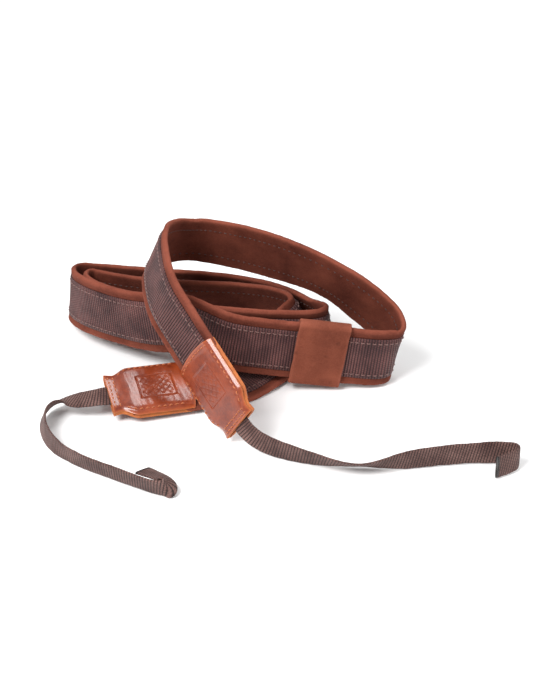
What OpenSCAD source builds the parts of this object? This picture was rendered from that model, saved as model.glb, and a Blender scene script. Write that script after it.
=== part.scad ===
// Sewn neck strap, lying coiled on its edges: suede strap with a ribbed webbing
// band, sliding keeper, two leather end tabs and two thin webbing tails.

/* [Strap] */
// Width of the suede strap
strap_w = 28; // [26:0.5:29]
// Width of the webbing band sewn along the strap
band_w = 20; // [16:0.5:22]
// Thickness of the suede from back face to border
suede_t = 2.3; // [2:0.1:2.6]
// How far the webbing band stands above the suede borders
band_proud = 0.3; // [0.1:0.1:0.5]
// Slack left round the padding inside the strap
core_slack = 0.1; // [0.05:0.05:0.15]
// Thickness of the suede on the back of the strap
back_t = 0.8; // [0.5:0.1:1]
// Thickness of the webbing band
band_t = 0.9; // [0.6:0.1:1.1]
// Rings of the strap between two points of its route
ring_steps = 3; // [2:1:4]

/* [Keeper] */
// Length of the keeper along the strap
keeper_len = 22; // [16:1:26]
// Wall thickness of the keeper
keeper_wall = 1.2; // [0.8:0.1:1.4]
// Clearance between keeper and strap
keeper_gap = 0.35; // [0.3:0.05:0.5]

/* [Leather tabs] */
// Length of a tab from mouth to tip
tab_len = 34; // [30:1:38]
// Width of a tab at its tip
tab_tip_w = 22; // [18:0.5:24]
// Width of a tab at the neck behind the tip
tab_neck_w = 21; // [17:0.5:23]
// Thickness of one layer of tab leather
leather_t = 1.2; // [0.8:0.1:1.6]
// How far the mouth of a tab bulges along the strap
mouth_bulge = 1.8; // [0:0.2:3]
// Clearance between a tab's leather and what it encloses
tab_slack = 0.2; // [0.1:0.05:0.3]
// How far the strap's end stops short of the tab's tip
strap_stop = 8; // [7:0.5:10]

/* [Tails] */
// Width of a webbing tail
tail_w = 10; // [8:0.5:12]
// Thickness of a webbing tail
tail_t = 1; // [0.8:0.1:1.2]

/* [Stitching] */
// Distance from one stitch to the next
stitch_pitch = 2.5; // [2:0.1:3]
// Visible length of one stitch
stitch_len = 1.7; // [1:0.1:1.9]
// Thickness of the sewing thread
thread_d = 0.5; // [0.3:0.1:0.6]
// Distance of a tab's stitching from its edge
stitch_inset = 2; // [1.6:0.1:2.6]
// Distance of the webbing band's stitching from its edge
band_inset = 2; // [1:0.1:3]

/* [Hidden] */

// Where the strap's route is set down, so that it stands centred on the origin
rest_shift = [17.5, -15, 0.5];

// The strap's route: middle of the strap, then the way its upper edge points
strap_route = [
    [-60, -14, 7, 0, 2.8, 0.65],
    [-47, -10, 6.5, 0, 2.8, 0.65],
    [-34, -6, 6, 0, 2.8, 0.65],
    [-21, -2, 5.5, 0, 2.8, 0.65],
    [-13, 3.5, 3.1, -0.6, 3.2, 0.15],
    [-7, 10.5, 2.4, -1, 2.8, 0.1],
    [1, 20.5, 3.8, -1.5, 2, 0.7],
    [12, 29.5, 10.5, -1.2, 1, 1],
    [18.5, 40, 13.5, -0.6, -0.3, 1],
    [7, 51.5, 13, -0.1, -0.5, 1],
    [-10, 57.5, 12.5, 0, -0.5, 1],
    [-30, 59.5, 12.5, 0, -0.5, 1],
    [-50, 60, 13, 0, -0.5, 1],
    [-69, 58.5, 14.5, 0.1, -0.3, 1],
    [-83.5, 60, 16, 0.15, -0.15, 1],
    [-85, 49, 17, 0.15, 0, 1],
    [-77, 42, 18, 0.1, -0.2, 1],
    [-62, 36, 18.5, 0.1, -0.5, 1],
    [-49, 28, 19.5, 0.1, -0.5, 1],
    [-35, 19.5, 21.2, 0.1, -0.4, 1],
    [-20, 12, 22, 0.1, -0.25, 1],
    [-6, 11, 21.2, 0.1, -0.25, 1],
    [7, 11.5, 20.5, 0, -0.2, 1],
    [20, 12.5, 18.5, -0.1, -0.1, 1],
    [28, 24, 14.5, -0.3, -0.2, 1],
    [26, 42, 12.5, -0.6, -0.5, 1],
    [11, 56, 12.5, -0.2, -0.6, 1],
    [-8, 65, 12.5, 0, -0.6, 1],
    [-26, 70, 12.5, 0, -0.6, 1],
    [-46, 72, 13, 0, -0.6, 1],
    [-66, 72, 13.5, 0.1, -0.5, 1],
    [-81, 69, 15, 0.2, -0.3, 1],
    [-92, 59, 17, 0.1, -0.1, 1],
    [-86, 45, 18.5, 0.1, -0.1, 1],
    [-75, 34, 20, 0.1, -0.1, 1],
    [-62, 25, 20.8, 0.1, -0.1, 1],
    [-49, 17, 23, 0.1, 0, 1],
    [-35, 11, 27.8, 0.1, 0, 1],
    [-21, 1.5, 23.1, 0.12, -0.05, 1],
    [-7, 1.5, 21, 0.12, -0.05, 1],
    [7, 1.5, 19.3, 0.12, -0.05, 1],
    [21, 1.5, 17.6, 0.12, -0.05, 1],
    [35, 1.5, 15.9, 0.12, -0.05, 1],
    [49, 1.5, 14.2, 0.12, -0.05, 1],
    [54.5, 6.5, 14, 0.25, -0.05, 1],
    [54, 18, 20, 0.15, -0.4, 1],
    [43, 22, 29.5, 0.1, -0.45, 1],
    [28, 24, 41, 0.1, -0.55, 1],
    [12, 34, 44, 0.1, -0.5, 1],
    [-7, 46, 44.5, 0.1, -0.4, 1],
    [-20, 51, 45, 0.1, -0.4, 1],
    [-32, 54, 46, 0.1, -0.4, 1],
    [-42, 50, 47, 0.1, -0.5, 0.9],
    [-48.5, 38, 50.5, 0.3, -0.4, 0.9],
    [-50, 21, 53.5, 0.4, -0.3, 0.9],
    [-46, -1.5, 46.9, 0.4, -0.3, 0.86],
    [-40, -9, 40.6, 0.4, -0.3, 0.86],
    [-34, -16.5, 34.3, 0.4, -0.3, 0.86],
    [-28, -24, 28, 0.4, -0.3, 0.86],
    [-22, -31.5, 21.7, 0.4, -0.3, 0.86],
    [-16, -39, 15.4, 0.4, -0.3, 0.86],
];

// The left tail, from inside its tab to its cut end
tail_left_route = [
    [-60, -14, 7, 0, 2.8, 0.65],
    [-66.5, -16, 7.25, 0, 2.8, 0.65],
    [-73, -18, 7.5, 0, 2.7, 0.6],
    [-80, -18, 6, -0.1, 1.4, 0.2],
    [-88, -16, 5, -0.4, 0.8, -0.5],
    [-94, -25, 5.5, -0.4, 0.2, -0.9],
    [-93, -38, 5.5, -0.2, 0, -1],
    [-88, -50, 5.5, 0, 0.1, -1],
    [-78, -60, 5, 0.2, 0.3, -0.9],
    [-66, -67.5, 5, 0.2, 0.3, -0.9],
    [-54, -74.5, 5, 0.2, 0.3, -0.9],
    [-46, -79, 4.5, 0.3, 0.3, -0.8],
    [-39, -81, 4.5, 0.5, 0.2, -0.7],
    [-40, -76, 5.5, 0.8, 0.2, -0.4],
    [-45, -73, 6, 0.85, 0.4, -0.3],
    [-50, -70, 6, 0.85, 0.45, -0.26],
];

// The right tail, from inside its tab to its cut end
tail_right_route = [
    [-16, -39, 15.4, 0.4, -0.3, 0.86],
    [-10, -46.5, 9.1, 0.4, -0.3, 0.86],
    [-3, -51, 6, 0.4, -0.3, 0.8],
    [6, -55, 5, 0.4, -0.4, 0.8],
    [16, -59, 4.5, 0.3, -0.5, 0.8],
    [28, -62, 3.5, 0.1, -0.7, 0.6],
    [38, -63, 3.5, 0, -0.8, 0.5],
    [48, -62, 4.5, 0, -0.4, 0.9],
    [60, -60, 5.3, 0, -0.1, 1],
    [75, -57, 5.3, 0, -0.1, 1],
    [88, -56, 5.3, 0, 0, 1],
    [99, -56, 5.3, 0, 0, 1],
    [99, -61, 5.3, 0, 0, 1],
    [94, -64, 5.3, 0, 0, 1],
    [89, -67, 5.3, 0, 0, 1]
];

// Point of the route that the keeper sits at, on the straight stretch
keeper_row = 41;

back_n = -suede_t / 2 - band_proud / 2;
border_n = back_n + suede_t;
band_n = border_n + band_proud;
bed_n = back_n + back_t;
band_back_n = band_n - band_t;
edge_r = 0.6;
edge_slack = 0.05;
thread_slack = 0.02;
tab_rows = 3;

function unit(v) = v / norm(v);
function first3(v) = [v[0], v[1], v[2]];
function last3(v) = [v[3], v[4], v[5]];

// Rows past either end are mirrored, so that the curve starts and ends on a row
function row(r, i) = i < 0 ? 2 * r[0] - r[1]
    : i >= len(r) ? 2 * r[len(r) - 1] - r[len(r) - 2] : r[i];

// Uniform cubic B-spline through the rows, and its slope
function blend(r, i, t) =
    ((1 - t)^3 * row(r, i - 1) + (3 * t^3 - 6 * t^2 + 4) * row(r, i)
    + (-3 * t^3 + 3 * t^2 + 3 * t + 1) * row(r, i + 1) + t^3 * row(r, i + 2)) / 6;
function slope(r, i, t) =
    (-(1 - t)^2 * row(r, i - 1) + (3 * t^2 - 4 * t) * row(r, i)
    + (-3 * t^2 + 2 * t + 1) * row(r, i + 1) + t^2 * row(r, i + 2)) / 2;

// A ring's frame: middle, way along, way up the width, way out of the face
function frame_of(p, d) =
    let (along = unit(first3(d)), up = last3(p), across = unit(up - (up * along) * along))
    [first3(p) + rest_shift, along, across, cross(along, across)];
function rings(r, steps) = [
    for (i = [0 : len(r) - 2], k = [0 : steps - 1])
        frame_of(blend(r, i, k / steps), slope(r, i, k / steps)),
    frame_of(blend(r, len(r) - 2, 1), slope(r, len(r) - 2, 1))];
function place(f, g, n) = f[0] + f[2] * g + f[3] * n;

strap_rings = rings(strap_route, ring_steps);

// One closed solid that carries a flat outline along the rings. Facing surfaces of two
// solids are split along the same diagonal, so that a twist keeps them parallel.
module sweep(frames, outline) {
    m = len(outline);
    last = len(frames) - 1;
    points = [for (f = frames, q = outline) place(f, q[0], q[1])];
    sides = [for (j = [0 : last - 1], i = [0 : m - 1])
        let (k = (i + 1) % m, a = j * m + i, b = j * m + k)
            each outline[k][0] >= outline[i][0]
                ? [[a, b, b + m], [a, b + m, a + m]]
                : [[a, b, a + m], [b, b + m, a + m]]];
    ends = [[for (i = [m - 1 : -1 : 0]) i], [for (i = [0 : m - 1]) last * m + i]];
    polyhedron(points, concat(sides, ends), convexity = 20);
}
function bar(g0, g1, n0, n1) = [[g0, n0], [g1, n0], [g1, n1], [g0, n1]];

// Children are drawn with +X along the strap, +Y up its width and +Z out of its face
module on_frame(f) {
    multmatrix([[f[1][0], f[2][0], f[3][0], f[0][0]],
                [f[1][1], f[2][1], f[3][1], f[0][1]],
                [f[1][2], f[2][2], f[3][2], f[0][2]],
                [0, 0, 0, 1]])
        children();
}

// The sides of the strap that a tab sits on: its first and last frames
left_end = strap_rings[0];
right_end = strap_rings[len(strap_rings) - 1];

module suede_cover() {
    e = strap_w / 2;
    b = band_w / 2;
    color("sienna")
        sweep(strap_rings, [
            [-e + edge_r, back_n], [e - edge_r, back_n], [e, back_n + edge_r],
            [e, border_n - edge_r], [e - edge_r, border_n], [b, border_n],
            [b, bed_n], [-b, bed_n], [-b, border_n],
            [-e + edge_r, border_n], [-e, border_n - edge_r], [-e, back_n + edge_r]]);
}

module padding_core() {
    half = band_w / 2 - core_slack;
    color("tan")
        sweep(strap_rings, bar(-half, half, bed_n + core_slack, band_back_n - core_slack));
}

module webbing_band() {
    half = band_w / 2 - edge_slack;
    row_g = band_w / 2 - band_inset;
    r = thread_d / 2;
    color("rosybrown")
        sweep(strap_rings, concat(
            [[-half, band_back_n], [half, band_back_n]],
            [for (g = [half, row_g + r, row_g - r, r - row_g, -row_g - r, -half]) [g, band_n]]));
}

// A thread row on the band, over the stretch of strap between the two tabs
module band_thread(g) {
    first = tab_rows * ring_steps;
    last = len(strap_rings) - 1 - first;
    low = band_n + thread_slack;
    color("peru")
        sweep([for (i = [first : last]) strap_rings[i]],
            bar(g - thread_d / 2, g + thread_d / 2, low, band_n + thread_d / 2));
}

module band_stitch_upper() {
    band_thread(band_w / 2 - band_inset);
}

module band_stitch_lower() {
    band_thread(band_inset - band_w / 2);
}

module keeper_outline(extra) {
    half = strap_w / 2 + keeper_gap;
    back = back_n - keeper_gap;
    front = band_n + thread_d / 2 + keeper_gap;
    translate([0, -half - extra])
        square([front - back + 2 * extra, 2 * half + 2 * extra]);
}

// Children are drawn with +Z along the strap, +X out of its face from the keeper's back
module on_keeper() {
    on_frame(strap_rings[keeper_row * ring_steps])
        translate([-keeper_len / 2, 0, back_n - keeper_gap - keeper_wall])
            multmatrix([[0, 0, 1, 0], [0, -1, 0, 0], [1, 0, 0, 0], [0, 0, 0, 1]])
                children();
}

module keeper_sleeve() {
    color("chocolate")
        on_keeper()
            linear_extrude(keeper_len)
                difference() {
                    keeper_outline(keeper_wall);
                    translate([keeper_wall, 0])
                        keeper_outline(0);
                }
}

// The thread that joins the keeper's ends, up the back of the sleeve
module keeper_seam_stitch() {
    reach = strap_w / 2 - 2;
    color("peru")
        on_keeper()
            for (y = [-reach : stitch_pitch : reach])
                translate([-thread_d / 2, y, keeper_len / 2 - 2])
                    cube([thread_d / 2, stitch_len, thread_d]);
}

// Outline of a tab: +X from the tip to the mouth, the tip's edge at x = 0
function tab_outline() =
    let (m = strap_w / 2, n = tab_neck_w / 2, p = tab_tip_w / 2)
    concat(
        [[0, -p], [1.5, -p], [4, -n], [9, -m + 0.8], [12, -m]],
        [for (a = [-1 : 0.25 : 1]) [tab_len + mouth_bulge * (1 - a * a), a * m]],
        [[12, m], [9, m - 0.8], [4, n], [1.5, p], [0, p]]);

// Side view of one leather layer: pinched on the tail, then lifted over the strap
function tab_profile(low, high) = [
    [-1, low], [3, low], [strap_stop, high], [tab_len + 3, high],
    [tab_len + 3, high + leather_t], [strap_stop - 0.6, high + leather_t],
    [3, low + leather_t], [-1, low + leather_t]];

// f is the strap's frame inside the tab, side +1 for the face with the band
module tab_layer(f, way, side) {
    high = side > 0 ? band_n : -back_n;
    on_frame(f)
        translate([-way * strap_stop, 0, 0])
            mirror([way > 0 ? 0 : 1, 0, 0])
                mirror([0, 0, side > 0 ? 0 : 1])
                    intersection() {
                        linear_extrude(height = 20, center = true)
                            polygon(tab_outline());
                        rotate([90, 0, 0])
                            linear_extrude(height = strap_w + 2, center = true)
                                polygon(tab_profile(tail_t / 2 + tab_slack, high + tab_slack));
                    }
}

module stitch(x, y, z, turn) {
    translate([x, y, z])
        rotate([0, 0, turn])
            translate([-stitch_len / 2, -thread_d / 2, 0])
                cube([stitch_len, thread_d, thread_d / 2]);
}

// Stitches along both sides and the mouth of a tab, on the lifted part of one face
module side_row(f, way, side) {
    high = (side > 0 ? band_n : -back_n) + tab_slack + leather_t;
    y0 = strap_w / 2 - stitch_inset;
    on_frame(f)
        translate([-way * strap_stop, 0, 0])
            mirror([way > 0 ? 0 : 1, 0, 0])
                mirror([0, 0, side > 0 ? 0 : 1]) {
                    for (x = [12 : stitch_pitch : tab_len - 2], y = [-y0, y0])
                        stitch(x, y, high, 0);
                    for (y = [-y0 + stitch_pitch : stitch_pitch : y0 - 1])
                        stitch(tab_len - stitch_inset + mouth_bulge * (1 - (y / y0)^2) * 0.8,
                            y, high, 90);
                }
}

// Two stitch rows across the tip, on the pinched part of one face
module tip_row(f, way, side) {
    high = tail_t / 2 + tab_slack + leather_t;
    y0 = tab_neck_w / 2 - stitch_inset;
    on_frame(f)
        translate([-way * strap_stop, 0, 0])
            mirror([way > 0 ? 0 : 1, 0, 0])
                mirror([0, 0, side > 0 ? 0 : 1])
                    for (x = [0.8, 2.4], y = [-y0 : stitch_pitch : y0])
                        stitch(x, y, high, 90);
}

module tab_left_front() {
    color("peru")
        tab_layer(left_end, 1, 1);
}
module tab_left_back() {
    color("peru")
        tab_layer(left_end, 1, -1);
}
module tab_right_front() {
    color("peru")
        tab_layer(right_end, -1, 1);
}
module tab_right_back() {
    color("peru")
        tab_layer(right_end, -1, -1);
}

module tab_left_side_stitch() {
    color("sandybrown")
        for (side = [-1, 1])
            side_row(left_end, 1, side);
}
module tab_left_tip_stitch() {
    color("sandybrown")
        for (side = [-1, 1])
            tip_row(left_end, 1, side);
}
module tab_right_side_stitch() {
    color("sandybrown")
        for (side = [-1, 1])
            side_row(right_end, -1, side);
}
module tab_right_tip_stitch() {
    color("sandybrown")
        for (side = [-1, 1])
            tip_row(right_end, -1, side);
}

module tail(route) {
    color("dimgray")
        sweep(rings(route, ring_steps), bar(-tail_w / 2, tail_w / 2, -tail_t / 2, tail_t / 2));
}
module tail_left() { tail(tail_left_route); }
module tail_right() { tail(tail_right_route); }

suede_cover();
padding_core();
webbing_band();
band_stitch_upper();
band_stitch_lower();
keeper_sleeve();
keeper_seam_stitch();
tab_left_front();
tab_left_back();
tab_left_side_stitch();
tab_left_tip_stitch();
tab_right_front();
tab_right_back();
tab_right_side_stitch();
tab_right_tip_stitch();
tail_left();
tail_right();
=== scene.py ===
# Neck strap lying coiled on its edge: a suede strap with ribbed webbing sewn along it, a sliding
# keeper, glossy leather end tabs and two thin webbing tails.
import math

import bpy
import numpy as np
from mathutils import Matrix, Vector


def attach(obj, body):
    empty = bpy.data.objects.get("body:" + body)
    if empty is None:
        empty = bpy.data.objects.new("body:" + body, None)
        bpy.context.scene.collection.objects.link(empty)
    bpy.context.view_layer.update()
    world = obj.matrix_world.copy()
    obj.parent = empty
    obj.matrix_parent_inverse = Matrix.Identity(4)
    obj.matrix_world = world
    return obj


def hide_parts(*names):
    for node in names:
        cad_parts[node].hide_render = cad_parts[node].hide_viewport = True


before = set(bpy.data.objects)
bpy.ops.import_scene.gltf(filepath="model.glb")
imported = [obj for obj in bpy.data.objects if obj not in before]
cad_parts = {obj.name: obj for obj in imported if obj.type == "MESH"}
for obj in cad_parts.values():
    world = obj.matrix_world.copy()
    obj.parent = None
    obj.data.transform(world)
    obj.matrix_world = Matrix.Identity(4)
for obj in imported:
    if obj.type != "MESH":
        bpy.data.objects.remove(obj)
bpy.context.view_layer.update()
print("stage: packed model loaded")

mm = 0.001
restShift = np.array([17.5, -15.0, 0.5])  # moves a route to where the coil stands on the origin

cameraSet = {
    "lens": 85.0,  # mm
    "sensor": 36.0,  # mm
    "distance": 700.0,  # mm from the point it looks at
    "elevation": 30.0,  # degrees above the floor
    "aim": (17.5, -15.0, 20.5),  # mm, the point it looks at
}


def addCamera():
    # The camera stands back along -Y and up by its elevation, and looks at its aim
    angle = math.radians(cameraSet["elevation"])
    back = Vector((0.0, -math.cos(angle), math.sin(angle)))
    data = bpy.data.cameras.new("camera")
    data.lens = cameraSet["lens"]
    data.sensor_width = cameraSet["sensor"]
    camera = bpy.data.objects.new("camera", data)
    camera.location = Vector(cameraSet["aim"]) * mm + back * cameraSet["distance"] * mm
    camera.rotation_euler = (math.radians(90.0) - angle, 0.0, 0.0)
    bpy.context.collection.objects.link(camera)
    bpy.context.scene.camera = camera


addCamera()

# The strap's route in mm: the middle of the strap, then the way its upper edge points
strapRoute = [
    (-60, -14, 7, 0, 2.8, 0.65),
    (-47, -10, 6.5, 0, 2.8, 0.65),
    (-34, -6, 6, 0, 2.8, 0.65),
    (-21, -2, 5.5, 0, 2.8, 0.65),
    (-13, 3.5, 3.1, -0.6, 3.2, 0.15),
    (-7, 10.5, 2.4, -1, 2.8, 0.1),
    (1, 20.5, 3.8, -1.5, 2, 0.7),
    (12, 29.5, 10.5, -1.2, 1, 1),
    (18.5, 40, 13.5, -0.6, -0.3, 1),
    (7, 51.5, 13, -0.1, -0.5, 1),
    (-10, 57.5, 12.5, 0, -0.5, 1),
    (-30, 59.5, 12.5, 0, -0.5, 1),
    (-50, 60, 13, 0, -0.5, 1),
    (-69, 58.5, 14.5, 0.1, -0.3, 1),
    (-83.5, 60, 16, 0.15, -0.15, 1),
    (-85, 49, 17, 0.15, 0, 1),
    (-77, 42, 18, 0.1, -0.2, 1),
    (-62, 36, 18.5, 0.1, -0.5, 1),
    (-49, 28, 19.5, 0.1, -0.5, 1),
    (-35, 19.5, 21.2, 0.1, -0.4, 1),
    (-20, 12, 22, 0.1, -0.25, 1),
    (-6, 11, 21.2, 0.1, -0.25, 1),
    (7, 11.5, 20.5, 0, -0.2, 1),
    (20, 12.5, 18.5, -0.1, -0.1, 1),
    (28, 24, 14.5, -0.3, -0.2, 1),
    (26, 42, 12.5, -0.6, -0.5, 1),
    (11, 56, 12.5, -0.2, -0.6, 1),
    (-8, 65, 12.5, 0, -0.6, 1),
    (-26, 70, 12.5, 0, -0.6, 1),
    (-46, 72, 13, 0, -0.6, 1),
    (-66, 72, 13.5, 0.1, -0.5, 1),
    (-81, 69, 15, 0.2, -0.3, 1),
    (-92, 59, 17, 0.1, -0.1, 1),
    (-86, 45, 18.5, 0.1, -0.1, 1),
    (-75, 34, 20, 0.1, -0.1, 1),
    (-62, 25, 20.8, 0.1, -0.1, 1),
    (-49, 17, 23, 0.1, 0, 1),
    (-35, 11, 27.8, 0.1, 0, 1),
    (-21, 1.5, 23.1, 0.12, -0.05, 1),
    (-7, 1.5, 21, 0.12, -0.05, 1),
    (7, 1.5, 19.3, 0.12, -0.05, 1),
    (21, 1.5, 17.6, 0.12, -0.05, 1),
    (35, 1.5, 15.9, 0.12, -0.05, 1),
    (49, 1.5, 14.2, 0.12, -0.05, 1),
    (54.5, 6.5, 14, 0.25, -0.05, 1),
    (54, 18, 20, 0.15, -0.4, 1),
    (43, 22, 29.5, 0.1, -0.45, 1),
    (28, 24, 41, 0.1, -0.55, 1),
    (12, 34, 44, 0.1, -0.5, 1),
    (-7, 46, 44.5, 0.1, -0.4, 1),
    (-20, 51, 45, 0.1, -0.4, 1),
    (-32, 54, 46, 0.1, -0.4, 1),
    (-42, 50, 47, 0.1, -0.5, 0.9),
    (-48.5, 38, 50.5, 0.3, -0.4, 0.9),
    (-50, 21, 53.5, 0.4, -0.3, 0.9),
    (-46, -1.5, 46.9, 0.4, -0.3, 0.86),
    (-40, -9, 40.6, 0.4, -0.3, 0.86),
    (-34, -16.5, 34.3, 0.4, -0.3, 0.86),
    (-28, -24, 28, 0.4, -0.3, 0.86),
    (-22, -31.5, 21.7, 0.4, -0.3, 0.86),
    (-16, -39, 15.4, 0.4, -0.3, 0.86),
]
tailLeftRoute = [
    (-60, -14, 7, 0, 2.8, 0.65),
    (-66.5, -16, 7.25, 0, 2.8, 0.65),
    (-73, -18, 7.5, 0, 2.7, 0.6),
    (-80, -18, 6, -0.1, 1.4, 0.2),
    (-88, -16, 5, -0.4, 0.8, -0.5),
    (-94, -25, 5.5, -0.4, 0.2, -0.9),
    (-93, -38, 5.5, -0.2, 0, -1),
    (-88, -50, 5.5, 0, 0.1, -1),
    (-78, -60, 5, 0.2, 0.3, -0.9),
    (-66, -67.5, 5, 0.2, 0.3, -0.9),
    (-54, -74.5, 5, 0.2, 0.3, -0.9),
    (-46, -79, 4.5, 0.3, 0.3, -0.8),
    (-39, -81, 4.5, 0.5, 0.2, -0.7),
    (-40, -76, 5.5, 0.8, 0.2, -0.4),
    (-45, -73, 6, 0.85, 0.4, -0.3),
    (-50, -70, 6, 0.85, 0.45, -0.26),
]
tailRightRoute = [
    (-16, -39, 15.4, 0.4, -0.3, 0.86),
    (-10, -46.5, 9.1, 0.4, -0.3, 0.86),
    (-3, -51, 6, 0.4, -0.3, 0.8),
    (6, -55, 5, 0.4, -0.4, 0.8),
    (16, -59, 4.5, 0.3, -0.5, 0.8),
    (28, -62, 3.5, 0.1, -0.7, 0.6),
    (38, -63, 3.5, 0, -0.8, 0.5),
    (48, -62, 4.5, 0, -0.4, 0.9),
    (60, -60, 5.3, 0, -0.1, 1),
    (75, -57, 5.3, 0, -0.1, 1),
    (88, -56, 5.3, 0, 0, 1),
    (99, -56, 5.3, 0, 0, 1),
    (99, -61, 5.3, 0, 0, 1),
    (94, -64, 5.3, 0, 0, 1),
    (89, -67, 5.3, 0, 0, 1),
]


def unit(vectors):
    # Each vector divided by its own length
    return vectors / np.linalg.norm(vectors, axis=-1, keepdims=True)


def followRoute(rows, step, start=0.0, stop=None):
    # Uniform cubic B-spline led by the rows. The row past either end is mirrored, so it starts and
    # stops on a row. It is sampled about every step mm along its own length, from start to stop.
    rows = np.array(rows, float)
    spread = np.vstack([2 * rows[0] - rows[1], rows, 2 * rows[-1] - rows[-2]])

    def pointAt(where):
        span = np.minimum(where.astype(int), len(rows) - 2)
        f = (where - span)[:, None]
        weights = ((1 - f) ** 3, 3 * f**3 - 6 * f**2 + 4, -3 * f**3 + 3 * f**2 + 3 * f + 1, f**3)
        slopes = (-((1 - f) ** 2), 3 * f**2 - 4 * f, -3 * f**2 + 2 * f + 1, f**2)
        place = sum(w * spread[span + k] for k, w in enumerate(weights)) / 6
        way = sum(w * spread[span + k] for k, w in enumerate(slopes)) / 2
        return place, way

    dense = np.linspace(0, len(rows) - 1, 60 * len(rows))
    place, way = pointAt(dense)
    run = np.concatenate([[0], np.cumsum(np.linalg.norm(np.diff(place[:, :3], axis=0), axis=1))])
    stop = run[-1] if stop is None else stop
    mark = np.linspace(start, stop, int(round((stop - start) / step)) + 1)
    place, way = pointAt(np.interp(mark, run, dense))
    along = unit(way[:, :3])
    up = place[:, 3:]
    up = unit(up - np.sum(up * along, axis=1, keepdims=True) * along)
    mid = place[:, :3] + restShift
    out = np.cross(along, up)
    return {"mark": mark, "length": run[-1], "mid": mid, "along": along, "up": up, "out": out}


def carry(path, across, outward):
    # A point of an outline carried along a route: middle + across * up + outward * out, in mm
    mid, up, out = (path[key][:, None] for key in ("mid", "up", "out"))
    return mid + across[..., None] * up + outward[..., None] * out


def runOf(first, second):
    # Running length along a closed outline, from its two coordinates
    steps = np.hypot(np.diff(first, prepend=first[-1]), np.diff(second, prepend=second[-1]))
    return np.cumsum(steps)


def layOut(mark, across):
    # The pair (along, across) at every point of a grid
    return np.stack(np.broadcast_arrays(mark, across), -1)


def waver(mark, across, size, waves, seed):
    # Slow unevenness: a sum of plane waves whose lengths in mm are spread over a range
    rng = np.random.default_rng(seed)
    total = np.zeros(np.broadcast(mark, across).shape)
    for wave in np.linspace(waves[0], waves[1], 7):
        turn = rng.uniform(0, 6.28)
        lean = rng.uniform(-0.6, 0.6)
        total += np.cos(6.283 * (mark + lean * across) / (wave * rng.uniform(0.8, 1.25)) + turn)
    return size * total / 3.0


def meshPiece(name, points, faces, corners, material):
    # points in mm, faces as lists of indices, corners as one (u, v) in metres per face corner
    mesh = bpy.data.meshes.new(name)
    mesh.from_pydata((points * mm).tolist(), [], faces)
    mesh.uv_layers.new(name="lie").data.foreach_set("uv", np.asarray(corners, np.float32).ravel())
    mesh.polygons.foreach_set("use_smooth", np.full(len(mesh.polygons), True))
    piece = bpy.data.objects.new(name, mesh)
    bpy.context.collection.objects.link(piece)
    mesh.materials.append(material)
    mesh.update()
    return piece


def cellCorners(grid, axis=0):
    # The four corners of every cell, in order round it. Rows lie on axis and columns on the next.
    low, high = slice(None, -1), slice(1, None)
    skip = (slice(None),) * axis
    return [grid[skip + pair] for pair in ((low, low), (low, high), (high, high), (high, low))]


def gridPiece(name, points, lie, material, around=True, loop=False):
    # points is rows x columns x 3 in mm, and lie the same grid of (along, across) in mm.
    # around joins the last column to the first, loop the last row to the first, and an open tube
    # has both ends closed.
    rows, columns = points.shape[:2]
    index = np.arange(rows * columns).reshape(rows, columns)
    if around:
        index = np.hstack([index, index[:, :1]])
        wide = lie[:, -1:] + (lie[:, -1:] - lie[:, -2:-1])
        lie = np.concatenate([lie, wide], axis=1)
    if loop:
        index = np.vstack([index, index[:1]])
        lie = np.concatenate([lie, 2 * lie[-1:] - lie[-2:-1]], axis=0)
    quads = np.stack(cellCorners(index), -1).reshape(-1, 4)
    corner = np.stack(cellCorners(lie), -2).reshape(-1, 4, 2)
    flat = points.reshape(-1, 3)
    a, b, c, d = (flat[quads[:, k]] - flat[0] for k in range(4))
    volume = np.sum(np.cross(a, b) * c + np.cross(a, c) * d)
    if around and volume < 0:
        quads, corner = quads[:, ::-1], corner[:, ::-1]
    faces = quads.tolist()
    corner = corner.reshape(-1, 2)
    if around and not loop:
        first = list(range(columns))
        last = list(range((rows - 1) * columns, rows * columns))
        faces += [first[::-1], last] if volume < 0 else [first, last[::-1]]
        ends = [np.repeat(row[:1], columns, 0) for row in (lie[0], lie[-1])]
        corner = np.vstack([corner, *ends])
    return meshPiece(name, flat, faces, corner * mm, material)


def paint(red, green, blue):
    # A screen colour of 0 to 255 turned into the linear colour a shader takes
    screen = np.array([red, green, blue]) / 255
    linear = np.where(screen < 0.04045, screen / 12.92, ((screen + 0.055) / 1.055) ** 2.4)
    return (*[float(x) for x in linear], 1.0)


def newGroup(name, inputs, outputs):
    group = bpy.data.node_groups.new(name, "ShaderNodeTree")
    for label, kind, value in inputs:
        socket = group.interface.new_socket(label, in_out="INPUT", socket_type=kind)
        if value is not None:
            socket.default_value = value
    for label, kind in outputs:
        group.interface.new_socket(label, in_out="OUTPUT", socket_type=kind)
    start = group.nodes.new("NodeGroupInput")
    end = group.nodes.new("NodeGroupOutput")
    return group, start.outputs, end.inputs


def mathNode(tree, kind, first, second=None):
    node = tree.nodes.new("ShaderNodeMath")
    node.operation = kind
    for socket, value in zip(node.inputs, (first, second)):
        if value is None:
            continue
        if isinstance(value, (int, float)):
            socket.default_value = value
        else:
            tree.links.new(value, socket)
    return node.outputs[0]


def noiseNode(tree, where, scale, detail, rough):
    node = tree.nodes.new("ShaderNodeTexNoise")
    node.inputs["Detail"].default_value = detail
    node.inputs["Roughness"].default_value = rough
    tree.links.new(where, node.inputs["Vector"])
    tree.links.new(scale, node.inputs["Scale"])
    return node.outputs["Fac"]


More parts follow.
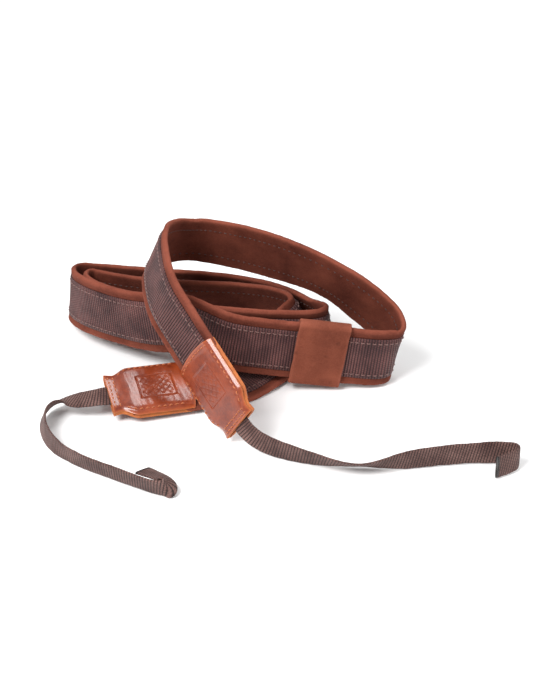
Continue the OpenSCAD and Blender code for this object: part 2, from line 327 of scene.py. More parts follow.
def blendColors(tree, amount, first, second):
    node = tree.nodes.new("ShaderNodeMix")
    node.data_type = "RGBA"
    factorSocket, firstSocket, secondSocket = node.inputs[0], node.inputs[6], node.inputs[7]
    for socket, value in ((factorSocket, amount), (firstSocket, first), (secondSocket, second)):
        if isinstance(value, tuple):
            socket.default_value = value
        else:
            tree.links.new(value, socket)
    return node.outputs[2]


def spreadNode(tree, value, low, high, newLow, newHigh):
    node = tree.nodes.new("ShaderNodeMapRange")
    tree.links.new(value, node.inputs["Value"])
    limits = {"From Min": low, "From Max": high, "To Min": newLow, "To Max": newHigh}
    for label, number in limits.items():
        node.inputs[label].default_value = number
    return node.outputs["Result"]


def makeMottle():
    # Unevenness of colour, broad and fine together, and the fine part alone as the fibres' height
    group, given, made = newGroup(
        "mottle",
        [
            ("Vector", "NodeSocketVector", None),
            ("Broad", "NodeSocketFloat", 60.0),
            ("Fine", "NodeSocketFloat", 900.0),
        ],
        [("Shade", "NodeSocketFloat"), ("Fibre", "NodeSocketFloat")],
    )
    broad = noiseNode(group, given["Vector"], given["Broad"], 3.0, 0.6)
    fine = noiseNode(group, given["Vector"], given["Fine"], 5.0, 0.75)
    broadPart = mathNode(group, "MULTIPLY", broad, 0.6)
    shade = mathNode(group, "ADD", broadPart, mathNode(group, "MULTIPLY", fine, 0.4))
    group.links.new(shade, made["Shade"])
    group.links.new(fine, made["Fibre"])
    return group


def makeWeave():
    # Ribs broken into threads, which step half a thread from one rib to the next. The height is
    # |sine| along, times 0.45 + 0.55 of |sine| across, and the crest is its square.
    group, given, made = newGroup(
        "weave",
        [
            ("Vector", "NodeSocketVector", None),
            ("Along", "NodeSocketFloat", 0.0012),
            ("Across", "NodeSocketFloat", 0.0009),
            ("Slant", "NodeSocketFloat", 0.0),
        ],
        [("Height", "NodeSocketFloat"), ("Crest", "NodeSocketFloat")],
    )
    split = group.nodes.new("ShaderNodeSeparateXYZ")
    group.links.new(given["Vector"], split.inputs[0])
    lean = mathNode(group, "MULTIPLY", split.outputs[1], given["Slant"])
    slanted = mathNode(group, "ADD", split.outputs[0], lean)
    rib = mathNode(group, "MULTIPLY", mathNode(group, "DIVIDE", slanted, given["Along"]), math.pi)
    spacing = mathNode(group, "DIVIDE", split.outputs[1], given["Across"])
    thread = mathNode(group, "MULTIPLY", spacing, math.pi)
    ribHeight = mathNode(group, "ABSOLUTE", mathNode(group, "SINE", rib))
    ribNumber = mathNode(group, "FLOOR", mathNode(group, "DIVIDE", rib, math.pi))
    shift = mathNode(group, "MULTIPLY", ribNumber, 0.5 * math.pi)
    shifted = mathNode(group, "SINE", mathNode(group, "ADD", thread, shift))
    threadHeight = mathNode(group, "MULTIPLY", mathNode(group, "ABSOLUTE", shifted), 0.55)
    height = mathNode(group, "MULTIPLY", ribHeight, mathNode(group, "ADD", threadHeight, 0.45))
    group.links.new(height, made["Height"])
    group.links.new(mathNode(group, "POWER", height, 2.0), made["Crest"])
    return group


mottleGroup = makeMottle()
weaveGroup = makeWeave()


def newMaterial(name, roughness, **fixed):
    material = bpy.data.materials.new(name)
    material.use_nodes = True
    tree = material.node_tree
    shader = tree.nodes["Principled BSDF"]
    shader.inputs["Roughness"].default_value = roughness
    for label, value in fixed.items():
        shader.inputs[label.replace("_", " ")].default_value = value
    return material, tree, shader


def useGroup(tree, group, where, **values):
    node = tree.nodes.new("ShaderNodeGroup")
    node.node_tree = group
    tree.links.new(where, node.inputs["Vector"])
    for label, value in values.items():
        node.inputs[label].default_value = value
    return node.outputs


def addBump(tree, shader, height, distance):
    bump = tree.nodes.new("ShaderNodeBump")
    bump.inputs["Distance"].default_value = distance
    bump.inputs["Strength"].default_value = 1.0
    tree.links.new(height, bump.inputs["Height"])
    tree.links.new(bump.outputs[0], shader.inputs["Normal"])


def fadeColors(tree, value, low, high, most, dark, light):
    # From the dark colour to the light one as the value rises from low to high, up to a share of most
    return blendColors(tree, spreadNode(tree, value, low, high, 0.0, most), dark, light)


def readMark(tree, name):
    # A value kept on the piece's own points
    node = tree.nodes.new("ShaderNodeAttribute")
    node.attribute_name = name
    return node.outputs["Fac"]


def objectPlace(tree):
    return tree.nodes.new("ShaderNodeTexCoord").outputs["Object"]


def lieOf(tree):
    node = tree.nodes.new("ShaderNodeUVMap")
    node.uv_map = "lie"
    return node.outputs[0]


suedeSet = {
    "fibre": 0.0004,  # m, how far the nap stands up
    "strap": {"dark": (72, 31, 22), "light": (116, 60, 45), "edge": (134, 72, 56)},
    # the keeper's colours are a lighter copy of the strap's suede: painted light for its lit front
    "keeper": {"dark": (92, 45, 32), "light": (130, 70, 52), "edge": (142, 80, 62)},
}


def makeSuede(name, colors):
    # Brushed skin: mottled colour, lighter where the nap is rubbed at the turned edges, and tiny pits
    # darkened with painted shade
    dark, light, edge = (paint(*colors[key]) for key in ("dark", "light", "edge"))
    material, tree, shader = newMaterial(
        name, 0.92, Sheen_Weight=0.22, Sheen_Roughness=0.5, Sheen_Tint=edge, Specular_IOR_Level=0.15
    )
    place = objectPlace(tree)
    mottle = useGroup(tree, mottleGroup, place, Broad=55.0, Fine=1500.0)
    color = fadeColors(tree, mottle["Shade"], 0.36, 0.64, 1.0, dark, light)
    patchy = spreadNode(tree, mottle["Shade"], 0.4, 0.6, 0.45, 1.0)
    worn = mathNode(tree, "MULTIPLY", readMark(tree, "rub"), patchy)
    color = blendColors(tree, worn, color, edge)
    pits = tree.nodes.new("ShaderNodeTexVoronoi")
    pits.inputs["Scale"].default_value = 130.0
    tree.links.new(place, pits.inputs["Vector"])
    pit = spreadNode(tree, pits.outputs["Distance"], 0.0, 0.16, 1.0, 0.0)
    # painted shade: the pits are darkened towards a darker copy of the suede
    pitShade = paint(*[c * 0.55 for c in colors["dark"]])
    color = blendColors(tree, mathNode(tree, "MULTIPLY", pit, 0.4), color, pitShade)
    tree.links.new(color, shader.inputs["Base Color"])
    height = mathNode(tree, "SUBTRACT", mottle["Fibre"], mathNode(tree, "MULTIPLY", pit, 0.6))
    addBump(tree, shader, height, suedeSet["fibre"])
    return material


bandSet = {
    # the groove colour is painted shade between the ribs, and the glint colour a painted highlight on
    # the threads
    "grooveShade": (18, 8, 9), "thread": (62, 31, 32), "glint": (126, 80, 76),
    "rib": 1.2,  # mm, from one rib to the next
}


def makeBandWebbing():
    # Ribs across the band, broken into short threads: painted shade darkens the grooves, patches of
    # painted highlight lighten the threads, and the grooves are duller, the tops glossier
    material, tree, shader = newMaterial(
        "ribbed webbing", 0.55, Sheen_Weight=0.05, Specular_IOR_Level=0.3
    )
    ribs = bandSet["rib"] * mm
    weave = useGroup(tree, weaveGroup, lieOf(tree), Along=ribs, Across=0.0011, Slant=0.0)
    mottle = useGroup(tree, mottleGroup, objectPlace(tree), Broad=90.0, Fine=1800.0)
    plain, glint, grooveShade = (paint(*bandSet[key]) for key in ("thread", "glint", "grooveShade"))
    thread = fadeColors(tree, mottle["Shade"], 0.38, 0.62, 0.7, plain, glint)
    # painted shade: darker where the weave is low
    color = fadeColors(tree, weave["Height"], 0.05, 0.75, 1.0, grooveShade, thread)
    tree.links.new(color, shader.inputs["Base Color"])
    gloss = spreadNode(tree, weave["Crest"], 0.0, 1.0, 0.75, 0.42)
    tree.links.new(gloss, shader.inputs["Roughness"])
    fuzz = mathNode(tree, "MULTIPLY", mottle["Fibre"], 0.5)
    addBump(tree, shader, mathNode(tree, "ADD", weave["Height"], fuzz), 0.00018)
    return material


tailSet = {
    # the groove colour is painted shade in the weave's hollows, and the glint colour a painted
    # highlight on the threads
    "grooveShade": (22, 11, 10), "thread": (76, 48, 44), "glint": (146, 112, 104),
    "scorch": (22, 15, 14), "weave": 0.0012,  # m, from one thread to the next
    "width": 10.0, "thick": 1.0,  # mm
}


def makeTailWebbing():
    # Plain weave, leaning slightly, with painted shade in its hollows and patches of painted
    # highlight on its threads, scorched dark at the cut end
    material, tree, shader = newMaterial(
        "tail webbing", 0.7, Sheen_Weight=0.04, Specular_IOR_Level=0.3
    )
    threads = tailSet["weave"]
    weave = useGroup(tree, weaveGroup, lieOf(tree), Along=threads, Across=threads, Slant=0.2)
    mottle = useGroup(tree, mottleGroup, objectPlace(tree), Broad=110.0, Fine=1900.0)
    plain, glint, grooveShade = (paint(*tailSet[key]) for key in ("thread", "glint", "grooveShade"))
    thread = fadeColors(tree, mottle["Shade"], 0.38, 0.62, 0.6, plain, glint)
    # painted shade: darker where the weave is low
    color = fadeColors(tree, weave["Height"], 0.1, 0.7, 1.0, grooveShade, thread)
    scorch = readMark(tree, "scorch")
    color = blendColors(tree, scorch, color, paint(*tailSet["scorch"]))
    tree.links.new(color, shader.inputs["Base Color"])
    tree.links.new(spreadNode(tree, scorch, 0.0, 1.0, 0.72, 0.3), shader.inputs["Roughness"])
    addBump(tree, shader, weave["Height"], 0.00016)
    return material


tabSet = {
    "dark": (96, 31, 11), "light": (146, 61, 25), "edge": (172, 84, 36),
    "rawDark": (150, 78, 36), "rawLight": (186, 106, 48),
    "length": 34.0, "bulge": 1.8, "wall": 1.2, "slack": 0.2,  # mm, like the rest
    "strapStop": 8.0,  # from the tip to the strap's end inside
    "neck": 10.5, "swell": 3.55, "flare": 0.7,  # half width at the neck, then what is added to it
    "inset": 2.0, "mouthInset": 1.7, "tipRows": (1.3, 3.3),  # rows of stitches, from the edges
    "rowStart": 5.2, "rowStop": 1.4,  # where a side row starts and how far short it stops
    "rowSpan": 0.84,  # share of the width that a row across covers
    "toolAt": 20.5, "toolHalfLength": 7.6, "toolHalfWidth": 6.4,  # the tooled frame
    "toolPitch": 3.2,  # between the crossed lines, measured along the tab
}


def makeTabLeather():
    # Waxed leather: cloudy colour, lighter at the worn edges, fine grain under a clear coat
    material, tree, shader = newMaterial(
        "tab leather", 0.34, Coat_Weight=0.5, Coat_Roughness=0.18, Specular_IOR_Level=0.35
    )
    place = objectPlace(tree)
    mottle = useGroup(tree, mottleGroup, place, Broad=75.0, Fine=620.0)
    dark, light, edge = (paint(*tabSet[key]) for key in ("dark", "light", "edge"))
    color = fadeColors(tree, mottle["Shade"], 0.36, 0.62, 1.0, dark, light)
    worn = mathNode(tree, "MULTIPLY", readMark(tree, "rub"), 0.75)
    tree.links.new(blendColors(tree, worn, color, edge), shader.inputs["Base Color"])
    gloss = spreadNode(tree, mottle["Shade"], 0.3, 0.7, 0.24, 0.46)
    tree.links.new(gloss, shader.inputs["Roughness"])
    grain = tree.nodes.new("ShaderNodeTexVoronoi")
    grain.feature = "DISTANCE_TO_EDGE"
    grain.inputs["Scale"].default_value = 1100.0
    tree.links.new(place, grain.inputs["Vector"])
    creases = spreadNode(tree, grain.outputs["Distance"], 0.0, 0.12, 0.0, 1.0)
    height = mathNode(tree, "ADD", mathNode(tree, "MULTIPLY", creases, 0.25), mottle["Fibre"])
    addBump(tree, shader, height, 0.00007)
    return material


def makeRawEdge():
    # Cut edge of the leather: lighter, with open fibres
    material, tree, shader = newMaterial("raw leather edge", 0.75)
    mottle = useGroup(tree, mottleGroup, objectPlace(tree), Broad=300.0, Fine=2400.0)
    dark, light = paint(*tabSet["rawDark"]), paint(*tabSet["rawLight"])
    color = fadeColors(tree, mottle["Shade"], 0.36, 0.64, 1.0, dark, light)
    tree.links.new(color, shader.inputs["Base Color"])
    addBump(tree, shader, mottle["Fibre"], 0.0001)
    return material


threadSet = {  # dark and light: painted shade and painted highlight on the twisted plies
    "band": ((64, 36, 34), (148, 106, 97)),
    "back": ((44, 18, 12), (84, 42, 32)),
    "tab": ((120, 46, 16), (214, 120, 62)),
}


def makeThread(name, dark, light):
    # Twisted sewing thread: slanted plies along each stitch, with painted highlight on their crests
    # and painted shade between them
    material, tree, shader = newMaterial(name, 0.5, Sheen_Weight=0.2)
    wave = tree.nodes.new("ShaderNodeTexWave")
    wave.bands_direction = "DIAGONAL"
    wave.inputs["Scale"].default_value = 1300.0
    tree.links.new(lieOf(tree), wave.inputs["Vector"])
    mottle = useGroup(tree, mottleGroup, objectPlace(tree), Broad=240.0, Fine=2600.0)
    uneven = spreadNode(tree, mottle["Shade"], 0.3, 0.7, 0.6, 1.3)
    amount = mathNode(tree, "MULTIPLY", wave.outputs["Fac"], uneven)
    # painted highlight and shade follow the same waves that raise the plies in the bump
    color = blendColors(tree, amount, paint(*dark), paint(*light))
    tree.links.new(color, shader.inputs["Base Color"])
    addBump(tree, shader, wave.outputs["Fac"], 0.00006)
    return material


suede = makeSuede("suede", suedeSet["strap"])
# the keeper's suede, painted lighter for the light on its front
litKeeperSuede = makeSuede("lit keeper suede", suedeSet["keeper"])
bandWebbing = makeBandWebbing()
tailWebbing = makeTailWebbing()
tabLeather = makeTabLeather()
rawEdge = makeRawEdge()
bandThread = makeThread("band thread", *threadSet["band"])
backThread = makeThread("back thread", *threadSet["back"])
tabThread = makeThread("tab thread", *threadSet["tab"])
print("stage: materials made")


def setAttribute(piece, name, values):
    # A value kept on each point of the piece, which its material reads
    layer = piece.data.attributes.new(name, "FLOAT", "POINT")
    layer.data.foreach_set("value", np.asarray(values, np.float32).ravel())


def makeTail(side, rows):
    # A flat outline with soft sides, cosine and sine each raised to a low power, carried along the
    # tail's route. Its last millimetre swells into the bead that a hot cut leaves.
    path = followRoute(rows, 0.35)
    angle = np.linspace(0, 2 * math.pi, 33)[:-1]
    across = np.sign(np.cos(angle)) * np.abs(np.cos(angle)) ** 0.35 * tailSet["width"] / 2
    outward = np.sign(np.sin(angle)) * np.abs(np.sin(angle)) ** 0.5 * tailSet["thick"] / 2
    mark = path["mark"][:, None]
    left = path["length"] - mark
    bead = np.exp(-((left - 0.5) ** 2) / 0.3) * 0.22
    edge = waver(mark, 0.0, 0.12, (5.0, 30.0), 11) + waver(mark, 0.0, 0.04, (0.8, 2.4), 12)
    wide = across[None] * (1 + edge / 5) * np.where(left < 0.25, 0.97, 1.0)
    thick = outward[None] * (1 + bead) + waver(mark, across[None], 0.04, (3.0, 14.0), 13)
    points = carry(path, wide, thick)
    lie = layOut(mark, runOf(across, outward)[None])
    piece = gridPiece("tail_" + side + "_webbing", points, lie, tailWebbing)
    scorch = np.clip(1.6 - left / 0.9, 0, 1)
    setAttribute(piece, "scorch", np.broadcast_to(scorch, points.shape[:2]))
    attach(piece, "strap")
    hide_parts("tail_" + side)


makeTail("left", tailLeftRoute)
makeTail("right", tailRightRoute)
print("stage: tails laid")


strapSet = {
    "width": 28.0,  # mm, like every length here
    "back": -1.3,  # heights above the middle of the strap's thickness
    "border": 1.02,
    "bed": 0.3,  # under the webbing
    "band": 1.3,
    "bandWidth": 20.0,
    "edgeRadius": 0.9,
    "held": (20.0, 24.0),  # from either end, where the tab's squeeze starts to ease and is gone
}
stitchSet = {
    "pitch": 2.5,
    "length": 1.8,
    "thick": 0.6,
    "bandThick": 0.5,
    "backLength": 1.3,
    "backThick": 0.4,
    "bandInset": 2.0,  # from the webbing's edge
    "covered": 27.0,  # from either end, hidden by the tab
}


def suedeOutline():
    # Back, rounded edge, border and the bed under the webbing, once round, as across and outward
    half = strapSet["width"] / 2
    bedHalf = strapSet["bandWidth"] / 2 - 0.3
    r = strapSet["edgeRadius"]
    back = np.linspace(-half + r, half - r, 27)
    turn = np.linspace(-math.pi / 2, math.pi / 2, 9)[1:-1]
    rise = strapSet["back"] + r
    border = np.linspace(half - r, strapSet["bandWidth"] / 2 + 0.15, 7)
    puff = strapSet["border"] - 0.25 * ((border - border[0]) / (border[-1] - border[0])) ** 3
    bed = np.linspace(bedHalf, -bedHalf, 5)
    edge = half - r + r * np.cos(turn)
    across = np.concatenate([back, edge, border, bed, -border[::-1], -edge[::-1]])
    side = rise + r * np.sin(turn)
    flat, low = np.full(len(back), strapSet["back"]), np.full(len(bed), strapSet["bed"])
    outward = np.concatenate([flat, side, puff, low, puff[::-1], side[::-1]])
    return across, outward


def ease(x, start, stop):
    # Smooth step from 0 at start to 1 at stop: three times t squared less twice t cubed
    t = np.clip((x - start) / (stop - start), 0, 1)
    return t * t * (3 - 2 * t)


def dimple(mark, across):
    # The line that the stitching pulls down: a narrow dent along each row, which deepens once in
    # every stitch's length
    row = np.exp(-((np.abs(across) - strapSet["bandWidth"] / 2 + stitchSet["bandInset"]) ** 2) / 0.6)
    return row * (0.7 + 0.3 * np.cos(2 * math.pi * mark / stitchSet["pitch"]))


def makeSuedeStrap():
    # The suede outline carried along the strap, uneven at its edges and rippled on its faces. It is
    # narrower and thinner inside the tabs, where the leather squeezes it.
    path = followRoute(strapRoute, 0.8)
    across, outward = suedeOutline()
    mark = path["mark"][:, None]
    reach = (np.abs(across[None]) / (strapSet["width"] / 2)) ** 4
    side = np.sign(across[None])
    wobble = waver(mark, side * 40, 0.16, (9.0, 46.0), 21)
    wobble = wobble + waver(mark, side * 9, 0.07, (2.0, 6.0), 22)
    held = 1 - ease(np.minimum(mark, path["length"] - mark), *strapSet["held"])
    wide = (across[None] + side * reach * wobble) * (1 - 0.1 * held)
    thick = (outward[None] + waver(mark, across[None], 0.05, (6.0, 28.0), 23)) * (1 - 0.25 * held)
    thick = thick - 0.14 * dimple(mark, across[None]) * np.sign(outward[None])
    points = carry(path, wide, thick)
    lie = layOut(mark, runOf(across, outward)[None])
    piece = gridPiece("suede_strip", points, lie, suede)
    rub = np.clip((np.abs(across) - 11.4) / 2.2, 0, 1) ** 1.5
    setAttribute(piece, "rub", np.broadcast_to(rub, points.shape[:2]))
    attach(piece, "strap")
    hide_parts("suede_cover", "padding_core")
    return path


def makeBand():
    # Ribbed webbing: each rib is |sine| ** 0.7 along the strap, lower towards the woven edges
    path = followRoute(strapRoute, 0.2)
    half = strapSet["bandWidth"] / 2
    top = np.linspace(half - 0.25, -half + 0.25, 13)
    across = np.concatenate([top, [-half, -half + 0.2, half - 0.2, half]])
    crown = strapSet["band"] - 0.12 * (np.abs(top) / half) ** 6
    outward = np.concatenate([crown, [0.9, 0.45, 0.45, 0.9]])
    mark = path["mark"][:, None]
    onTop = np.concatenate([np.clip((half - np.abs(top)) / 1.2, 0.35, 1.0), [0.2, 0, 0, 0.2]])
    pulled = mark + waver(mark, across[None], 0.08, (14.0, 40.0), 31)
    rib = np.abs(np.sin(math.pi * pulled / bandSet["rib"])) ** 0.7
    ripple = waver(mark, across[None], 0.04, (7.0, 30.0), 32)
    thick = outward[None] + onTop[None] * (0.2 * rib - 0.14) + ripple
    atEdge = np.sign(across[None]) * (np.abs(across[None]) > half - 0.3)
    wide = across[None] + atEdge * 0.12 * (rib - 0.5)
    points = carry(path, wide, thick)
    lie = layOut(mark, across[None])
    piece = gridPiece("band_webbing_ribbed", points, lie, bandWebbing)
    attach(piece, "strap")
    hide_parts("webbing_band")


strapPath = makeSuedeStrap()
makeBand()
print("stage: strap swept")


def sewStitches(name, place, way, out, length, thick, material, body, nodes, seed):
    # Each stitch is a six-sided thread that rises out and dips back in: its height is half a sine
    # wave along its length. place, way and out hold one row for each stitch, in mm.
    rng = np.random.default_rng(seed)
    count, rings, sides = len(place), 7, 6
    side = unit(np.cross(out, way))
    t = np.linspace(-0.5, 0.5, rings)
    turn = np.linspace(0, 2 * math.pi, sides + 1)[:-1]
    girth = thick / 2 * (1 - 0.45 * np.abs(2 * t) ** 3)
    slip = rng.uniform(-0.12, 0.12, (count, 1, 1, 1))
    lift = (np.cos(math.pi * t) * 0.85 - 0.45) * thick
    reach = (t * length)[None, :, None]
    spine = place[:, None] + way[:, None] * reach + out[:, None] * lift[None, :, None]
    cosine, sine = (wave(turn)[None, None, :, None] for wave in (np.cos, np.sin))
    ring = side[:, None, None] * cosine + out[:, None, None] * sine
    skew = side[:, None, None] * slip * reach[..., None]
    points = spine[:, :, None] + ring * girth[None, :, None, None] + skew
    index = np.arange(count * rings * sides).reshape(count, rings, sides)
    index = np.concatenate([index, index[:, :, :1]], axis=2)
    quads = np.stack(cellCorners(index, 1), -1).reshape(-1, 4)[:, ::-1].tolist()
    first = index[:, 0, -2::-1].reshape(-1, sides).tolist()
    last = index[:, -1, :-1].reshape(-1, sides).tolist()
    u = np.broadcast_to(reach, index.shape)
    v = np.broadcast_to((np.arange(sides + 1) * thick / 2)[None, None], index.shape)
    lie = np.stack([u, v], -1)
    corner = np.stack(cellCorners(lie, 1), -2).reshape(-1, 2)
    corner = np.vstack([corner, np.zeros((2 * sides * count, 2))]) * mm
    faces = quads + [face[::-1] for face in first + last]
    piece = meshPiece(name, points.reshape(-1, 3), faces, corner, material)
    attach(piece, body)
    if nodes:
        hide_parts(*nodes)


def sewBand():
    # One row along each side of the webbing, between the two tabs
    covered = stitchSet["covered"]
    path = followRoute(strapRoute, stitchSet["pitch"], covered, strapPath["length"] - covered)
    for name, across in (("upper", 1), ("lower", -1)):
        offset = across * (strapSet["bandWidth"] / 2 - stitchSet["bandInset"])
        place = path["mid"] + offset * path["up"] + (strapSet["band"] + 0.02) * path["out"]
        sewStitches(
            "band_thread_" + name, place, path["along"], path["out"], stitchSet["length"],
            stitchSet["bandThick"], bandThread, "strap", ["band_stitch_" + name],
            41 + across,
        )
        place = path["mid"] + offset * path["up"] + (strapSet["back"] + 0.03) * path["out"]
        sewStitches(
            "back_thread_" + name, place, path["along"], -path["out"], stitchSet["backLength"],
            stitchSet["backThick"], backThread, "strap", [], 44 + across,
        )


sewBand()
print("stage: band sewn")


keeperSet = {
    "row": 41,  # of the strap's route, where it rests
    "length": 22.0,
    "wall": 1.2,
    "gap": 0.35,  # to the strap inside
    "threadRoom": 0.25,  # more, over the webbing's stitches
    "corner": 1.7,
    "lean": 0.045,  # how far its ends slant, for each mm up
    "belly": 0.16,  # how far its faces sink between its ends
    "seam": 11.5,  # half the height of the seam at the back
}


def keeperFrame():
    # The straight stretch's own axes at the keeper's row
    path = followRoute(strapRoute[keeperSet["row"] - 2 : keeperSet["row"] + 3], 0.5)
    middle = len(path["mark"]) // 2
    center = np.array(strapRoute[keeperSet["row"]][:3]) + restShift
    return center, path["along"][middle], path["up"][middle], path["out"][middle]


def makeKeeper():
    # The wall's own section, a flat strip with round ends, carried round a rounded rectangle that
    # encloses the strap
    center, along, up, out = keeperFrame()
    halfUp = strapSet["width"] / 2 + keeperSet["gap"] + keeperSet["wall"] / 2
    low = strapSet["back"] - keeperSet["gap"] - keeperSet["wall"] / 2
    room = keeperSet["threadRoom"] + keeperSet["gap"]
    high = strapSet["band"] + room + keeperSet["wall"] / 2
    halfOut = (high - low) / 2
    corner = keeperSet["corner"]
    turn = np.linspace(0, math.pi / 2, 7)
    arcs = []
    corners = [(1, 1), (-1, 1), (-1, -1), (1, -1)]
    inner = np.array([halfUp - corner, halfOut - corner])
    for k, (g, n) in enumerate(corners):
        a = turn + k * math.pi / 2
        bend = corner * np.stack([np.cos(a), np.sin(a)], 1)
        arcs.append(np.array([g, n]) * inner + bend)
        after = np.array(corners[(k + 1) % 4])
        end = arcs[-1][-1]
        count = 26 if k % 2 == 0 else 3  # points along a face, or along an edge
        between = np.linspace(0, 1, count)[1:-1, None]
        arcs.append(end + (after * inner + bend[-1] - end) * between)
    loop = np.concatenate(arcs)
    normal = np.roll(loop, -1, 0) - np.roll(loop, 1, 0)
    normal = unit(np.stack([normal[:, 1], -normal[:, 0]], 1))
    half = keeperSet["length"] / 2
    r = keeperSet["wall"] / 2
    rim = np.linspace(-math.pi / 2, math.pi / 2, 7)[1:-1]
    flat = np.linspace(-half + r, half - r, 30)
    past, drop = r * np.cos(rim), r * np.sin(rim)
    x = np.concatenate([flat, half - r + past, flat[::-1], -(half - r) - past])
    w = np.concatenate([np.full(len(flat), -r), drop, np.full(len(flat), r), -drop])
    run = np.cumsum(np.linalg.norm(np.diff(loop, axis=0, prepend=loop[-1:]), axis=1))
    soft = waver(run[:, None], x[None], 0.05, (4.0, 20.0), 51)
    skew = keeperSet["lean"] * loop[:, :1]
    onFace = np.abs(loop[:, :1]) < halfUp - corner
    belly = -keeperSet["belly"] * np.cos(math.pi * x / keeperSet["length"])[None] * onFace
    spread = loop[:, None] + normal[:, None] * (w[None] + soft + belly)[..., None]
    ragged = waver(run[:, None], 0.0, 0.12, (8.0, 24.0), 52)
    where = x[None] + skew + ragged * np.abs(x[None]) / half
    lift = (high + low) / 2
    section = spread[..., :1] * up + (spread[..., 1:] + lift) * out
    points = center + where[..., None] * along + section
    lie = layOut(run[:, None], runOf(x, w)[None])
    piece = gridPiece("keeper_suede", points, lie, litKeeperSuede, loop=True)
    rubEnds = np.clip((np.abs(x) - half + 1.4) / 1.4, 0, 1)[None] * 0.8
    rubFolds = np.clip((np.abs(loop[:, :1]) - halfUp + 1.6) / 1.6, 0, 1) * 0.6
    setAttribute(piece, "rub", np.clip(rubEnds + rubFolds, 0, 1))
    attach(piece, "keeper")
    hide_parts("keeper_sleeve")
    reach = np.arange(-keeperSet["seam"], keeperSet["seam"], stitchSet["pitch"])
    place = center + reach[:, None] * up + (low - keeperSet["wall"] / 2 - 0.1) * out
    each = np.ones((len(reach), 1))
    sewStitches(
        "keeper_seam_thread", place, each * up, -each * out, stitchSet["length"],
        stitchSet["bandThick"], tabThread, "keeper", ["keeper_seam_stitch"], 55,
    )


makeKeeper()
print("stage: keeper fitted")


def tabHalfWidth(x):
    # Widest over the strap, necked behind a slightly flared tip
    wider = tabSet["swell"] * ease(x, 3.2, 10.5) + tabSet["flare"] * (1 - ease(x, 0.0, 3.4))
    return tabSet["neck"] + wider


def tabMouth(v):
    # How far the arched mouth is from the tip
    return tabSet["length"] + tabSet["bulge"] * (1 - v**2)


def tabPoint(x, v):
    # x from the tip in mm, v from -1 to 1 across, then the height of the leather's outer face
    half = tabHalfWidth(x)
    thin = tailSet["thick"] / 2  # at the tip it holds only the tail
    rise = (strapSet["band"] - thin) * ease(x, 2.6, 9.0)
    face = thin + tabSet["slack"] + tabSet["wall"] + rise
    edge = half * (1 - np.abs(v))
    droop = rise * np.exp(-((edge / 0.85) ** 2))
    droop = droop + 0.6 * np.exp(-((edge / 1.7) ** 2))
    press = 0.22 * np.exp(-((edge - tabSet["inset"]) ** 2) / 0.35) * ease(x, 4.0, 9.0)
    crown = 0.28 * (1 - np.abs(v) ** 2.4) * ease(x, 3.0, 12.0) - 0.22 * np.abs(v) ** 14
    dent = 0.16 * ease(x, 2.8, 4.6) * (1 - ease(x, 5.5, 9.0)) * np.cos(v * 7.0)
    return half * v, face + crown - droop - press - dent * 0.5


def toolLines(x, y):
    # Tooled pattern: a plain line frame round a small lattice of crossed lines
    pitch = tabSet["toolPitch"]
    boxed = np.maximum(
        np.abs(x - tabSet["toolAt"]) - tabSet["toolHalfLength"], np.abs(y) - tabSet["toolHalfWidth"]
    )
    frameLine = np.exp(-(boxed**2) / 0.05)
    lattice = sum(np.exp(-((line % pitch - pitch / 2) ** 2) / 0.045) for line in (x + y, x - y))
    inside = np.clip((-boxed - 1.1) / 0.3, 0, 1)
    return 0.26 * frameLine + 0.16 * np.clip(lattice, 0, 1) * inside


def tabAxes(end):
    # The tab's tip, then the strap's own axes at that end: the way to the mouth, up and outward
    at, sign = (0, 1) if end == "left" else (-1, -1)
    start = 0.0 if end == "left" else strapPath["length"] - 20.0
    stop = 20.0 if end == "left" else None
    path = followRoute(strapRoute, 1.0, start, stop)
    way = sign * path["along"][at]
    return path["mid"][at] - tabSet["strapStop"] * way, way, path["up"][at], path["out"][at]


def makeTab(end, face):
    # A grid over the tab's outline. Solidify gives it the leather's thickness, and its rim is raw.
    tip, way, up, out = tabAxes(end)
    sign = 1 if face == "front" else -1
    fine = 0.24 if face == "front" else 0.4
    u = np.linspace(0, 1, int(tabSet["length"] / fine))[:, None]
    v = np.linspace(-1, 1, int(strapSet["width"] / fine))[None]
    x = u * tabMouth(v)
    y, height = tabPoint(x, v)
    if face == "front":
        height = height - toolLines(x, y)
    height = height - 0.06 * (1 - ease(tabMouth(v) - x, 0.0, 1.2))
    height = height + waver(x * 2, y, 0.035, (5.0, 22.0), 61 + sign)
    points = tip + x[..., None] * way + y[..., None] * up + (sign * height)[..., None] * out
    if np.dot(np.cross(way, up), out * sign) > 0:  # turned so that the grid faces outwards
        points, x, y = points[:, ::-1], x[:, ::-1], y[:, ::-1]
    name = "tab_" + end + "_" + face + "_leather"
    piece = gridPiece(name, points, np.stack([x, y], -1), tabLeather, around=False)
    piece.data.materials.append(rawEdge)
    toEnds = np.minimum(x, tabMouth(v) - x)
    edge = np.minimum(tabHalfWidth(x) - np.abs(y), toEnds)
    rub = np.clip(1 - edge / 1.1, 0, 1) ** 1.5
    setAttribute(piece, "rub", rub)
    wall = piece.modifiers.new("wall", "SOLIDIFY")
    wall.thickness = tabSet["wall"] * mm
    wall.offset = -1.0
    wall.material_offset_rim = 1
    soften = piece.modifiers.new("soften", "BEVEL")
    soften.width = 0.16 * mm
    soften.segments = 2
    soften.angle_limit = math.radians(50)
    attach(piece, "strap")
    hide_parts("tab_" + end + "_" + face)


def stitchPlaces(end, face, x, v):
    # Places, ways and outward ways for stitches that follow one another through the points (x, v)
    tip, way, up, out = tabAxes(end)
    sign = 1 if face == "front" else -1
    y, height = tabPoint(x, v)
    points = tip + x[:, None] * way + y[:, None] * up + sign * height[:, None] * out
    middle = (points[1:] + points[:-1]) / 2
    return middle, unit(points[1:] - points[:-1]), np.broadcast_to(sign * out, middle.shape)


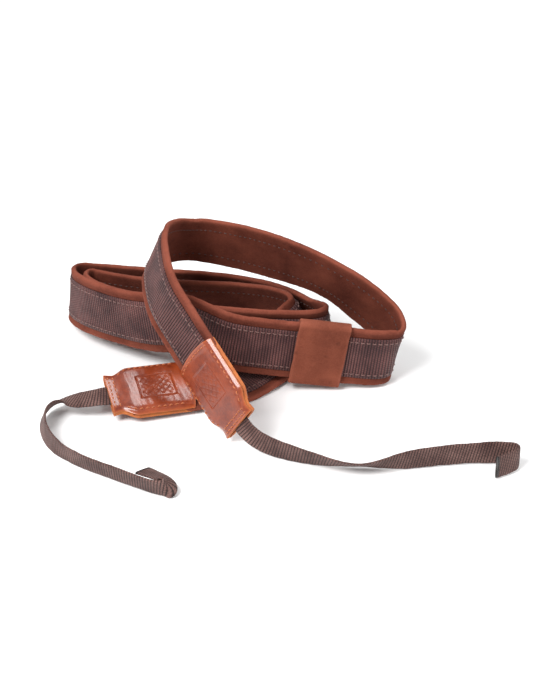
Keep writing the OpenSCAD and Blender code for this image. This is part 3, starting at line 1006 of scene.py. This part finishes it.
def sewTab(end):
    # Rows down both sides, along the curved mouth, and two across the tip, on both faces
    pitch, span = stitchSet["pitch"], tabSet["rowSpan"]
    sideRows, tipRows = [], []
    for face in ("front", "back"):
        x = np.arange(tabSet["rowStart"], tabSet["length"] - tabSet["rowStop"], pitch)
        inside = 1 - tabSet["inset"] / tabHalfWidth(x)
        sideRows += [stitchPlaces(end, face, x, inside), stitchPlaces(end, face, x, -inside)]
        v = np.linspace(-span, span, 11)
        sideRows.append(stitchPlaces(end, face, tabMouth(v) - tabSet["mouthInset"], v))
        v = np.linspace(-span, span, 9)
        for back in tabSet["tipRows"]:
            tipRows.append(stitchPlaces(end, face, np.full(len(v), back), v))
    for kind, rows in (("side", sideRows), ("tip", tipRows)):
        place, way, out = (np.concatenate([row[k] for row in rows]) for k in range(3))
        sewStitches(
            "tab_" + end + "_" + kind + "_thread", place, way, out, stitchSet["length"],
            stitchSet["thick"], tabThread, "strap",
            ["tab_" + end + "_" + kind + "_stitch"], 71,
        )


for end in ("left", "right"):
    makeTab(end, "front")
    makeTab(end, "back")
    sewTab(end)
print("stage: tabs sewn on")


stageSet = {
    "floor": (0.92, 0.92, 0.92, 1),
    "floorHalf": 4,  # m
    "sky": 0.62,
    "lights": (  # name, place and size in m, power in W
        ("key", (-0.45, -0.55, 0.8), 0.45, 13.0),
        ("fill", (0.8, -0.3, 0.6), 0.8, 4.0),
        ("top", (0.0, 0.45, 0.85), 0.16, 1.3),
    ),
    "aim": (0.02, 0.0, 0.02),  # m, the point the lights face
}


def addStage():
    # A large pale floor, a bright even sky and three soft lights
    mesh = bpy.data.meshes.new("floor")
    far = stageSet["floorHalf"]
    corners = [(-far, -far, 0), (far, -far, 0), (far, far, 0), (-far, far, 0)]
    mesh.from_pydata(corners, [], [(0, 1, 2, 3)])
    floor = bpy.data.objects.new("floor", mesh)
    bpy.context.collection.objects.link(floor)
    material, _, shader = newMaterial("pale floor", 0.9)
    shader.inputs["Base Color"].default_value = stageSet["floor"]
    mesh.materials.append(material)
    world = bpy.data.worlds.new("sky")
    world.use_nodes = True
    sky = world.node_tree.nodes["Background"]
    sky.inputs["Color"].default_value = (1, 1, 1, 1)
    sky.inputs["Strength"].default_value = stageSet["sky"]
    bpy.context.scene.world = world
    for name, place, size, power in stageSet["lights"]:
        data = bpy.data.lights.new(name, "AREA")
        data.size = size
        data.energy = power
        lamp = bpy.data.objects.new(name, data)
        lamp.location = place
        aim = Vector(stageSet["aim"]) - Vector(place)
        lamp.rotation_euler = aim.to_track_quat("-Z", "Y").to_euler()
        bpy.context.collection.objects.link(lamp)
    bpy.context.scene.view_settings.view_transform = "Standard"


addStage()
print("stage: floor and lights set")
